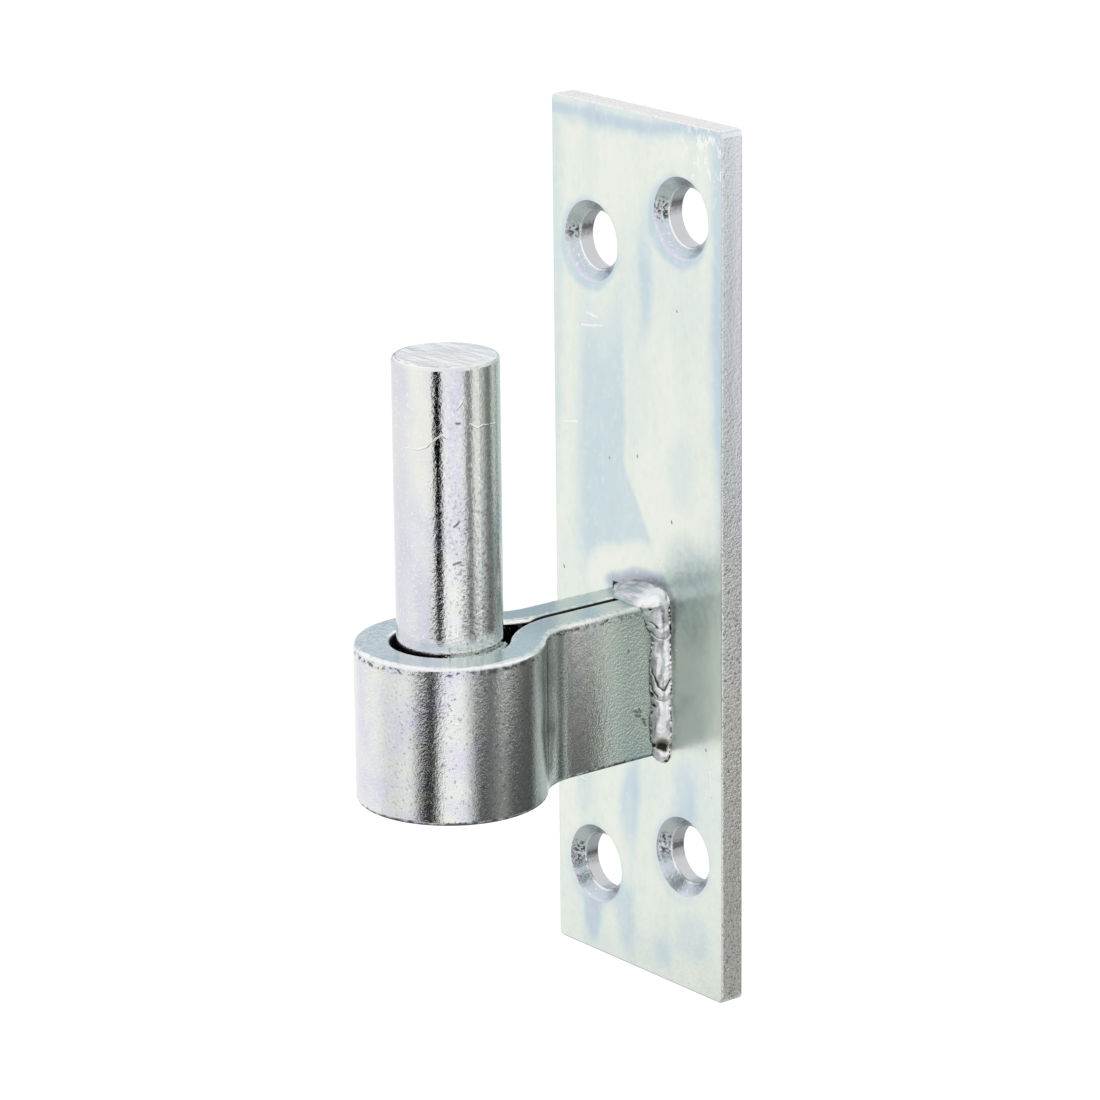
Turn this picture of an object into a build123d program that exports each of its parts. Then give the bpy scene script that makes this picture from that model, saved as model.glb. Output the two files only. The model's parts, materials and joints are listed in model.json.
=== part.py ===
from build123d import *
import os

# Gate hinge pin: a round pin held in the eye of a folded flat bar, whose two ends pass
# through a slot in a screw-on back plate and are welded to it.
#
# Millimetres. The origin is the middle of the plate's back face, which lies on the gate post.
# +Z runs up along the pin, -Y points away from the post, and +X is to the right of someone
# who looks at the post.

# Back plate
plate_width = 40.0
plate_height = 136.0
plate_thickness = 4.0
plate_corner = 1.0
plate_edge = 0.3

# Countersunk screw holes, two at each end, the outer one of each pair nearer the plate's end
screw_bore = 9.0
countersink = 12.6
countersink_depth = 1.8
hole_spread = 21.2
near_hole_end = 14.5
far_hole_end = 21.5

# Pin
pin_diameter = 16.0
pin_reach = 40.0
pin_free_length = 43.5
pin_edge = 0.6
pin_foot_bevel = 1.0

# Folded flat bar that makes the eye
strap_width = 24.5
strap_thickness = 5.5
strap_edge = 0.7
strap_drop = 19.0
eye_clearance = 0.9
neck_radius = 10.0
leg_gap = 0.5
strap_end_inset = 0.2

# Slot for the bar's two ends
slot_side_gap = 0.25
slot_top_gap = 0.75
slot_bottom_gap = 0.25

# Weld bead round the slot. Each stop is its share of the run, then the bead's leg on the plate
# and its leg on the bar. The bead was laid downwards, and narrows where each pass ends.
top_bead_margin = 0.9
bead_overrun = 1.2
left_bead_gap = 1.5
bead_crown = 0.6
corner_legs = (2.4, 2.8)
top_stops = ((0.0, 1.0, 0.8), (0.25, 2.0, 2.8), (0.6, 2.4, 4.0), (0.85, 2.5, 3.6), (1.0, *corner_legs))
side_stops = (
    (0.0, *corner_legs),
    (0.16, 2.8, 2.6),
    (0.24, 2.2, 1.5),
    (0.52, 2.9, 1.8),
    (0.62, 2.2, 1.3),
    (0.82, 2.9, 1.9),
    (0.91, 2.1, 1.2),
    (0.96, 2.4, 1.4),
    (1.0, 1.0, 0.6),
)

# Weld that closes the eye under the pin and grips the bevel of its foot
pin_recess = 2.5
bevel_left_bare = 0.3
weld_crown = 0.8
weld_inset = 0.3

# Places that follow from the sizes above
pin_radius = pin_diameter / 2
eye_radius = pin_radius + eye_clearance
strap_top = strap_width / 2 - strap_drop
strap_bottom = strap_top - strap_width
leg_face = leg_gap / 2 + strap_thickness
plate_front = -plate_thickness
pin_axis = Vector(0, -pin_reach, 0)
pin_top = strap_top + pin_free_length
pin_bottom = strap_bottom + pin_recess

UP = Vector(0, 0, 1)
RIGHT = Vector(1, 0, 0)
FORWARD = Vector(0, -1, 0)


def screw_hole(x, z):
    """One screw hole with its countersink, as the metal that the drill takes away."""
    drill = Cylinder(screw_bore / 2, 2 * plate_thickness)
    sink = Pos(0, 0, plate_thickness - countersink_depth) * Cone(
        screw_bore / 2, countersink / 2, countersink_depth, align=(Align.CENTER, Align.CENTER, Align.MIN)
    )
    return Pos(x, 0, z) * Rot(90, 0, 0) * (drill + sink)


def back_plate():
    """Flat bar cut to length, with its screw holes and the slot for the eye's two ends."""
    plate = Pos(0, plate_front / 2, 0) * Box(plate_width, plate_thickness, plate_height)
    plate = fillet(plate.edges().filter_by(Axis.Y), plate_corner)
    front_and_back = plate.faces().filter_by(Axis.Y)
    plate = fillet(front_and_back.edges(), plate_edge)

    column = hole_spread / 2
    near_row = plate_height / 2 - near_hole_end
    far_row = plate_height / 2 - far_hole_end
    for x, z in ((column, near_row), (-column, far_row), (column, -far_row), (-column, -near_row)):
        plate -= screw_hole(x, z)

    slot_top = strap_top + slot_top_gap
    slot_bottom = strap_bottom - slot_bottom_gap
    slot = Box(2 * (leg_face + slot_side_gap), 3 * plate_thickness, slot_top - slot_bottom)
    return plate - Pos(0, 0, (slot_top + slot_bottom) / 2) * slot


def strap_path():
    """Middle line of the flat bar, seen from above: leg, neck, eye, neck and leg."""
    middle = (strap_top + strap_bottom) / 2
    leg_middle = leg_face - strap_thickness / 2
    eye_middle = eye_radius + strap_thickness / 2
    neck_middle = neck_radius + strap_thickness / 2
    neck_side = leg_middle + neck_middle
    neck_behind_pin = ((eye_middle + neck_middle) ** 2 - neck_side**2) ** 0.5
    share = eye_middle / (eye_middle + neck_middle)

    leg_end = Vector(leg_middle, -strap_end_inset, middle)
    leg_start = Vector(leg_middle, neck_behind_pin - pin_reach, middle)
    eye_start = Vector(neck_side * share, neck_behind_pin * share - pin_reach, middle)
    eye_front = Vector(0, -pin_reach - eye_middle, middle)

    near_side = Line(leg_end, leg_start) + TangentArc(leg_start, eye_start, tangent=FORWARD)
    eye = ThreePointArc(eye_start, eye_front, (-eye_start.X, eye_start.Y, middle))
    path = near_side + eye + mirror(near_side, Plane.YZ)
    return path, Plane(leg_end, x_dir=RIGHT, z_dir=FORWARD)


def eye_strap():
    """One flat bar, bent round the pin and back, so that its two ends lie side by side."""
    path, start = strap_path()
    section = start * RectangleRounded(strap_thickness, strap_width, strap_edge)
    return sweep(section, path=path)


def hinge_pin():
    """Round bar that the gate's band turns on, rounded above and bevelled at its foot."""
    length = pin_top - pin_bottom
    pin = Pos(0, 0, pin_bottom) * Cylinder(pin_radius, length, align=(Align.CENTER, Align.CENTER, Align.MIN))
    pin = fillet(pin.edges().group_by(Axis.Z)[-1], pin_edge)
    pin = chamfer(pin.edges().group_by(Axis.Z)[0], pin_foot_bevel)
    return Pos(pin_axis) * pin


def bead_section(foot, outward, plate_leg, bar_leg):
    """Weld bead cut across: one leg on the plate, one on the bar, and a crowned face."""
    toe = foot + outward * plate_leg
    root = foot + FORWARD * bar_leg
    crown = foot + (outward * plate_leg + FORWARD * bar_leg) * bead_crown
    return make_face([Line(foot, toe), ThreePointArc(toe, crown, root), Line(root, foot)])


def bead_run(start, along, length, outward, stops):
    """A straight stretch of bead that swells and narrows from stop to stop."""
    sections = [bead_section(start + along * (share * length), outward, *legs) for share, *legs in stops]
    run = Part()
    for near, far in zip(sections, sections[1:]):
        run += loft([near, far], ruled=True)
    return run


def side_bead(top):
    """Bead down the right side of the bar, running a little past its lower edge."""
    start = Vector(leg_face, plate_front, top)
    return bead_run(start, -UP, top - strap_bottom + bead_overrun, RIGHT, side_stops)


def strap_weld_right():
    """Bead over the top of the bar, round its upper right corner and down its right side."""
    corner = Vector(leg_face, plate_front, strap_top)
    length = 2 * leg_face - top_bead_margin
    top = bead_run(corner - RIGHT * length, RIGHT, length, UP, top_stops)
    turn = revolve(bead_section(corner, UP, *corner_legs), Axis(corner, -FORWARD), 90)
    return top + turn + side_bead(strap_top)


def strap_weld_left():
    """Bead down the left side of the bar, kept clear of its bare upper corner."""
    return mirror(side_bead(strap_top - left_bead_gap), Plane.YZ)


def pin_weld():
    """Weld metal that closes the eye from below, under the pin and round its bevel."""
    rim = strap_bottom + weld_inset
    bevel_covered = pin_foot_bevel - bevel_left_bare
    top = pin_bottom + bevel_covered
    foot_radius = pin_radius - pin_foot_bevel
    lowest = (0, 0, rim - weld_crown)
    outline = [
        TangentArc(lowest, (eye_radius, 0, rim), tangent=RIGHT),
        Line((eye_radius, 0, rim), (eye_radius, 0, top)),
        Line((eye_radius, 0, top), (foot_radius + bevel_covered, 0, top)),
        Line((foot_radius + bevel_covered, 0, top), (foot_radius, 0, pin_bottom)),
        Line((foot_radius, 0, pin_bottom), (0, 0, pin_bottom)),
        Line((0, 0, pin_bottom), lowest),
    ]
    return Pos(pin_axis) * revolve(make_face(outline), Axis.Z)


pieces = {
    "back_plate": back_plate(),
    "eye_strap": eye_strap(),
    "hinge_pin": hinge_pin(),
    "strap_weld_right": strap_weld_right(),
    "strap_weld_left": strap_weld_left(),
    "pin_weld": pin_weld(),
}

os.makedirs("parts", exist_ok=True)
for name, piece in pieces.items():
    export_step(piece, f"parts/{name}.step")
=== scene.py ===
import bmesh
import bpy
import json
import math
import random
from mathutils import Matrix, Vector, noise


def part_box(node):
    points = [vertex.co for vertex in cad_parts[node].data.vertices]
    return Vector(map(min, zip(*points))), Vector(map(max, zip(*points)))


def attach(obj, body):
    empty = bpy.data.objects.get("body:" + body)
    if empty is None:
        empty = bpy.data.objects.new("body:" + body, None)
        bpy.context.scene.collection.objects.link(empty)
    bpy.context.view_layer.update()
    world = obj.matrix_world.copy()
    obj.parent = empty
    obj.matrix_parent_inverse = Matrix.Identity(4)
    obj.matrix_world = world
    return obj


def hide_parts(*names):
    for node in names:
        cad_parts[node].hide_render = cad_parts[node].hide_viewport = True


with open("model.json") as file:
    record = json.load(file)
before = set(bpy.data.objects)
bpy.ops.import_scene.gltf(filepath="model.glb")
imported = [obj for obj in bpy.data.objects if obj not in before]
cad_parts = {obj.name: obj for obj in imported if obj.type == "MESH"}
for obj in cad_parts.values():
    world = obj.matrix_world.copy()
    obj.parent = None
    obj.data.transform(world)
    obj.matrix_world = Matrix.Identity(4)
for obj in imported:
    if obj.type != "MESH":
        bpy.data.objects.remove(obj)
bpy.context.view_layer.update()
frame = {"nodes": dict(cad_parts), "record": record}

# The back plate is 4 mm flat bar, cropped to length, drilled, countersunk and slotted. It hung in
# the zinc bath with the rest, and the clear dip that followed left a thin film on it, which runs
# from cream to pale blue, and to lilac where it is thinnest, by the edges, the holes and the weld.
MM = 0.001
plate_low, plate_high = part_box("back_plate")
strap_low, strap_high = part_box("eye_strap")
bar_half = 5.75 * MM
bore_radius = 4.5 * MM
sink_radius = 6.3 * MM
cropped_skin = 0.25 * MM

screw_holes = []
for mount in frame["record"]["mounts"]:
    if mount["kind"] == "bolt_pattern":
        half = mount["dims"]["spacing_y_mm"] * MM / 2
        x, _, z = mount["pos_m"]
        screw_holes += [(x, z - half), (x, z + half)]

# The film's colour, from where it is thinnest to where it is thickest.
film_colours = (
    (0.00, (0.60, 0.57, 0.69)),
    (0.24, (0.60, 0.64, 0.75)),
    (0.42, (0.60, 0.72, 0.78)),
    (0.58, (0.71, 0.80, 0.80)),
    (0.78, (0.81, 0.87, 0.81)),
    (1.00, (0.87, 0.90, 0.83)),
)

# The great blue run above the slot: how far it fades in from its left, its top and its foot, how
# thick the film is on it, and the hard line on its right, which stands upright and then slants.
run_left = (-17.5 * MM, -11.5 * MM)
run_top = (48 * MM, 24 * MM)
run_foot = (-7 * MM, 0.0)
run_film = 0.42
run_right = -2.4 * MM
run_slant = -0.59
run_slant_start = 5.3 * MM

# Where the dip drained off in blue: middle, half-width and half-height in mm, and strength.
blue_drifts = (
    (2.6, 45.0, 2.4, 13.0, 0.30),
    (10.8, 14.5, 4.5, 7.5, 0.28),
    (11.8, 0.0, 5.5, 6.5, 0.30),
    (-2.2, -42.0, 3.0, 11.0, 0.42),
    (11.2, -37.0, 4.2, 9.0, 0.38),
    (12.5, -59.5, 4.4, 5.5, 0.36),
    (-12.0, -61.5, 2.8, 6.0, 0.36),
    (-3.4, -60.0, 3.6, 8.5, 0.34),
    (-13.6, -40.0, 2.6, 7.0, 0.28),
    (5.0, -63.5, 7.0, 4.0, 0.22),
)

# Where it is thin: how far in from the top and the sides, and round the holes.
top_band = (5.4 * MM, 1.2 * MM)
side_band = 3.0 * MM
halo_band = (8.0 * MM, 6.3 * MM)

# What the weld's heat left on the plate, by the distance from the bead: a burnt rim, soot with
# a painted shadow of the bead along its border, and an arch of thick film over them. To their
# right lies a painted reflection of the leg, with painted shade.
burnt_rim = (2.5 * MM, 0.3 * MM)
soot_and_shadow_rim = (1.3 * MM, 0.1 * MM)
arch_outside = (7.0 * MM, 4.5 * MM)
arch_inside = (1.2 * MM, 2.4 * MM)
leg_reflection_middle = (13 * MM, 0, -4.5 * MM)
leg_reflection_band = (9 * MM, 3 * MM)

burnt_colour = (0.47, 0.46, 0.52)
leg_reflection_colour = (0.26, 0.37, 0.41)
soot_and_shadow_colour = (0.20, 0.22, 0.21)
tick_colour = (0.13, 0.13, 0.12)
plate_scratch_colour = (0.97, 0.96, 0.97)
feather_middle = (16.5 * MM, 0, 63.5 * MM)

# Scratches and ticks from handling, each from one place to another, in mm.
plate_scratches = (
    ((-12.0, -4, 35.3), (-9.1, -4, 34.8)),
    ((-13.1, -4, 33.0), (-8.0, -4, 33.8)),
    ((-17.5, -4, 16.9), (-14.5, -4, 17.5)),
    ((-15.7, -4, -39.9), (-13.2, -4, -40.4)),
    ((17.2, -4, -31.0), (17.4, -4, -35.0)),
)
plate_ticks = (
    ((-17.99, -4, -6.2), (-17.9, -4, -6.6)),
    ((0.2, -4, 15.1), (0.25, -4, 14.8)),
    ((8.3, -4, 6.6), (8.35, -4, 6.2)),
    ((-6.67, -4, 13.4), (-6.6, -4, 13.2)),
    ((9.65, -4, 39.3), (9.7, -4, 39.1)),
    ((16.18, -4, -27.7), (16.2, -4, -27.9)),
)


def finish(name):
    """An empty zinc-plated finish, and the shader that carries it."""
    made = bpy.data.materials.new(name)
    made.use_nodes = True
    shader = made.node_tree.nodes["Principled BSDF"]
    shader.inputs["Metallic"].default_value = 1.0
    return made, shader


def step(made, kind, inputs, **settings):
    """One node of a finish. Each input is a plain value or another node's output."""
    node = made.node_tree.nodes.new(kind)
    for name, value in settings.items():
        setattr(node, name, value)
    for name, value in inputs.items():
        if isinstance(value, bpy.types.NodeSocket):
            made.node_tree.links.new(value, node.inputs[name])
        else:
            node.inputs[name].default_value = value
    return node


def place_on(made):
    """The place on the piece that a pattern is drawn by, in metres."""
    return step(made, "ShaderNodeTexCoord", {}).outputs["Object"]


def parted(made, place):
    """The three numbers of a place, by the names X, Y and Z."""
    return step(made, "ShaderNodeSeparateXYZ", {"Vector": place}).outputs


def sums(made, operation, first, second=0.0, third=0.0):
    """One, two or three numbers worked into one."""
    inputs = {0: first, 1: second, 2: third}
    return step(made, "ShaderNodeMath", inputs, operation=operation).outputs[0]


def times(made, first, *others):
    """The product of two or more numbers."""
    for other in others:
        first = sums(made, "MULTIPLY", first, other)
    return first


def shifted(made, first, factor, added):
    """A number times a factor, with another added."""
    return sums(made, "MULTIPLY_ADD", first, factor, added)


def less(made, first, second):
    """The first number less the second."""
    return sums(made, "SUBTRACT", first, second)


def most(made, first, *others):
    """The largest of two or more numbers."""
    for other in others:
        first = sums(made, "MAXIMUM", first, other)
    return first


def unsigned(made, value):
    """A number without its sign."""
    return sums(made, "ABSOLUTE", value)


def moved(made, operation, place, other):
    """A place worked together with another, such as added to it or stretched by it."""
    inputs = {0: place, 1: other}
    return step(made, "ShaderNodeVectorMath", inputs, operation=operation).outputs[0]


def stretched(made, place, by):
    """A place times a factor for each direction."""
    return moved(made, "MULTIPLY", place, by)


def apart(made, place, point):
    """How far a place is from a point."""
    inputs = {0: place, 1: point}
    return step(made, "ShaderNodeVectorMath", inputs, operation="DISTANCE").outputs["Value"]


def along(made, place, direction):
    """How far a place lies along a direction."""
    inputs = {0: place, 1: direction}
    node = step(made, "ShaderNodeVectorMath", inputs, operation="DOT_PRODUCT")
    return node.outputs["Value"]


def cloud(made, place, size, detail=3.0, rough=0.55):
    """A drifting pattern, from 0 to 1, whose patches are about this size in mm."""
    inputs = {"Vector": place, "Scale": 1 / (size * MM), "Detail": detail, "Roughness": rough}
    return step(made, "ShaderNodeTexNoise", inputs).outputs["Fac"]


def ease(made, value, low, high, start=0.0, end=1.0):
    """From start, below low, to end, above high, with a soft step between."""
    if low > high:
        low, high, start, end = high, low, end, start
    inputs = {"Value": value, "From Min": low, "From Max": high, "To Min": start, "To Max": end}
    node = step(made, "ShaderNodeMapRange", inputs, interpolation_type="SMOOTHSTEP")
    return node.outputs["Result"]


def fade(made, value, low, high, *ends):
    """The same soft step, with its low and high in mm."""
    return ease(made, value, low * MM, high * MM, *ends)


def span(made, value, low, high):
    """A pattern from 0 to 1 laid over a range."""
    inputs = {"Value": value, "To Min": low, "To Max": high}
    return step(made, "ShaderNodeMapRange", inputs).outputs["Result"]


def colours(made, value, stops):
    """The colour that a value picks from a row of colours."""
    node = step(made, "ShaderNodeValToRGB", {"Fac": value})
    ramp = node.color_ramp
    while len(ramp.elements) < len(stops):
        ramp.elements.new(1.0)
    for element, (where, colour) in zip(ramp.elements, stops):
        element.position = where
        element.color = (*colour, 1.0)
    return node.outputs["Color"]


def over(made, amount, under, colour):
    """One colour laid over another by an amount from 0 to 1."""
    node = step(made, "ShaderNodeMix", {}, data_type="RGBA")
    for number, value in ((0, amount), (6, under), (7, colour)):
        socket = node.inputs[number]
        if isinstance(value, bpy.types.NodeSocket):
            made.node_tree.links.new(value, socket)
        else:
            socket.default_value = (*value, 1.0) if hasattr(value, "__len__") else value
    return node.outputs[2]


def layered(made, colour, *layers):
    """A colour with others laid over it in turn, each by its own amount."""
    for amount, other in layers:
        colour = over(made, amount, colour, other)
    return colour


def dented(made, *patterns):
    """The surface pushed in and out by patterns, each with its depth in mm."""
    before = {}
    for height, depth in patterns:
        inputs = {"Height": height, "Strength": 1.0, "Distance": depth * MM, **before}
        before = {"Normal": step(made, "ShaderNodeBump", inputs).outputs["Normal"]}
    return before["Normal"]


def warp(made, place, size, detail, reach):
    """A place pushed about by a drifting pattern, by up to half of reach each way."""
    inputs = {"Vector": place, "Scale": 1 / size, "Detail": detail}
    push = step(made, "ShaderNodeTexNoise", inputs).outputs["Color"]
    push = moved(made, "SUBTRACT", push, (0.5, 0.5, 0.5))
    return moved(made, "ADD", place, stretched(made, push, reach))


def scratches(made, place, strokes, width):
    """1 along fine straight scratches, which wander a little, and 0 beside them."""
    place = warp(made, place, 1.5 * MM, 1.0, (0.5 * MM, 0.5 * MM, 0.5 * MM))
    found = 0.0
    for start, end in strokes:
        start, end = Vector(start) * MM, Vector(end) * MM
        reach = end - start
        away = moved(made, "SUBTRACT", place, start)
        share = along(made, away, reach / reach.length_squared)
        share = step(made, "ShaderNodeClamp", {"Value": share}).outputs[0]
        nearest = {0: reach, "Scale": share}
        nearest = step(made, "ShaderNodeVectorMath", nearest, operation="SCALE").outputs[0]
        line = ease(made, apart(made, away, nearest), width, 0.4 * width)
        found = most(made, found, line)
    return found


def put_on(made, shader, colour, roughness, normal):
    """The colour, roughness and relief that make up a finish."""
    for name, value in (("Base Color", colour), ("Roughness", roughness), ("Normal", normal)):
        made.node_tree.links.new(value, shader.inputs[name])


def hole_shade(made, flat, up):
    """How far off the nearest screw hole's middle is, its upper side and its chattered patch."""
    nearest, upper, chattered = 1.0, 0.0, 0.0
    for x, z in screw_holes:
        away = apart(made, flat, (x, 0, z))
        high = fade(made, less(made, up, z), -2.5, 3.5)
        high = times(made, high, sums(made, "LESS_THAN", away, 1.1 * sink_radius))
        upper = most(made, upper, high)
        nearest = sums(made, "MINIMUM", nearest, away)
        patch = apart(made, flat, (x - 5.3 * MM, 0, z + 0.6 * MM))
        wide = 1.4 * MM if (x < 0 < z) else 2.5 * MM
        chattered = most(made, chattered, ease(made, patch, wide, 0.4 * wide))
    return nearest, upper, chattered


def drifting_film(made, warped, loose, parts, ragged):
    """The film where nothing thins it: cream, with one great blue run and smaller drifts."""
    film = cloud(made, stretched(made, warped, (1.0, 1.0, 0.3)), 9, 2.0, 0.5)
    film = ease(made, film, 0.32, 0.62, 0.72, 0.97)

    edge = most(made, shifted(made, parts["Z"], run_slant, run_slant_start), run_right)
    inside = less(made, edge, shifted(made, loose["X"], 0.2, times(made, parts["X"], 0.8)))
    inside = shifted(made, ragged, 0.8 * MM, inside)
    left = shifted(made, loose["X"], 0.4, times(made, parts["X"], 0.6))
    run = times(
        made,
        ease(made, left, *run_left),
        fade(made, inside, -0.2, 1.3),
        ease(made, loose["Z"], *run_top),
        ease(made, loose["Z"], *run_foot),
    )
    film = shifted(made, less(made, film, run_film), shifted(made, run, -0.85, 1.0), run_film)

    level = stretched(made, warped, (1, 0, 1))
    for x, z, wide, high, strength in blue_drifts:
        away = moved(made, "SUBTRACT", level, (x * MM, 0, z * MM))
        away = stretched(made, away, (1 / (wide * MM), 0, 1 / (high * MM)))
        patch = ease(made, apart(made, away, (0, 0, 0)), 1.15, 0.35)
        film = shifted(made, patch, -strength, film)
    return film


def thin_film(made, flat, loose, parts, across, ragged):
    """1 where the film is thin, along the top and the sides and round the holes, 0 elsewhere."""
    to_top = less(made, plate_high.z, parts["Z"])
    to_top = shifted(made, fade(made, parts["X"], 2, 14), 1.6 * MM, to_top)
    top = ease(made, shifted(made, ragged, 2.4 * MM, to_top), *top_band)
    top = times(made, top, fade(made, to_top, 0.2, 2.4, 0.3, 0.8))
    to_side = shifted(made, ragged, 2.4 * MM, less(made, plate_high.x, across))
    reach = fade(made, loose["Z"], -8, 30, 0.0, side_band)
    side = fade(made, less(made, reach, to_side), -1.2, 2.0)
    side = times(made, side, fade(made, parts["X"], -1, 1, 0.4, 0.6))
    halo = 0.0
    for x, z in screw_holes:
        low_side = apart(made, flat, (x - 0.5 * MM, 0, z - 0.6 * MM))
        low_side = shifted(made, ragged, 1.6 * MM, low_side)
        strength = 0.55 if z > 0 else 0.3
        halo = most(made, halo, ease(made, low_side, *halo_band, 0.0, strength))
    return most(made, top, side, halo)


def weld_heat(made, flat, parts, across, ragged):
    """Where the weld's heat left an arch of film, a burnt rim and soot with the bead's painted
    shadow, and where the leg's painted reflection and shade lie, from 0 to 1.
    """
    beside = most(made, less(made, across, bar_half), 0.0)
    above = most(made, less(made, parts["Z"], strap_high.z), 0.0)
    off_bar = step(made, "ShaderNodeCombineXYZ", {"X": beside, "Z": above}).outputs[0]
    bead_reach = fade(made, parts["X"], -6.5, 1, 0.5 * MM, 2.5 * MM)
    off_bead = less(made, apart(made, off_bar, (0, 0, 0)), bead_reach)
    off_bead = shifted(made, ragged, 0.5 * MM, off_bead)
    over_slot = fade(made, parts["Z"], -9, -5)

    arch = times(
        made,
        ease(made, off_bead, *arch_outside),
        ease(made, off_bead, *arch_inside),
        fade(made, parts["X"], 8, 3),
        over_slot,
    )
    to_right = fade(made, parts["X"], 5, 8, 1.0, 0.3)
    burnt = times(made, ease(made, off_bead, *burnt_rim), over_slot, to_right)
    # soot along the bead's border, with a painted shadow of the bead in it
    soot_and_shadow = times(
        made,
        ease(made, off_bead, *soot_and_shadow_rim),
        fade(made, parts["Z"], -19, -10),
        fade(made, parts["X"], -1, 6, 0.25, 1.0),
    )
    # to the right of the weld, a painted reflection of the leg with painted shade
    leg_reflection = stretched(made, moved(made, "SUBTRACT", flat, leg_reflection_middle), (0.9, 0, 0.8))
    leg_reflection = shifted(made, ragged, 2 * MM, apart(made, leg_reflection, (0, 0, 0)))
    return arch, burnt, ease(made, leg_reflection, *leg_reflection_band), soot_and_shadow


def film_and_heat(made, place, flat, parts, ragged):
    """How thick the film is, from 0 to 1, how burnt and sooty the plate's front is, with the
    bead's painted shadow, and where the leg's painted reflection and shade lie.
    """
    warped = warp(made, place, 14 * MM, 2.0, (4 * MM, 0, 7 * MM))
    loose = parted(made, warped)
    across = unsigned(made, parts["X"])
    film = drifting_film(made, warped, loose, parts, ragged)
    thin = thin_film(made, flat, loose, parts, across, ragged)
    film = times(made, film, span(made, thin, 1.0, 0.12))
    arch, burnt, leg_reflection, soot_and_shadow = weld_heat(made, flat, parts, across, ragged)
    film = shifted(made, arch, 0.40, film)
    film = times(made, film, span(made, burnt, 1.0, 0.25))
    in_front = fade(made, parts["Y"], -0.2, -0.5)
    burnt, leg_reflection, soot_and_shadow = (times(made, amount, in_front) for amount in (burnt, leg_reflection, soot_and_shadow))
    mottled = ease(made, cloud(made, place, 1.3, 4.0), 0.3, 0.7, 0.20, 0.42)
    return film, burnt, times(made, leg_reflection, mottled), soot_and_shadow


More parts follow.
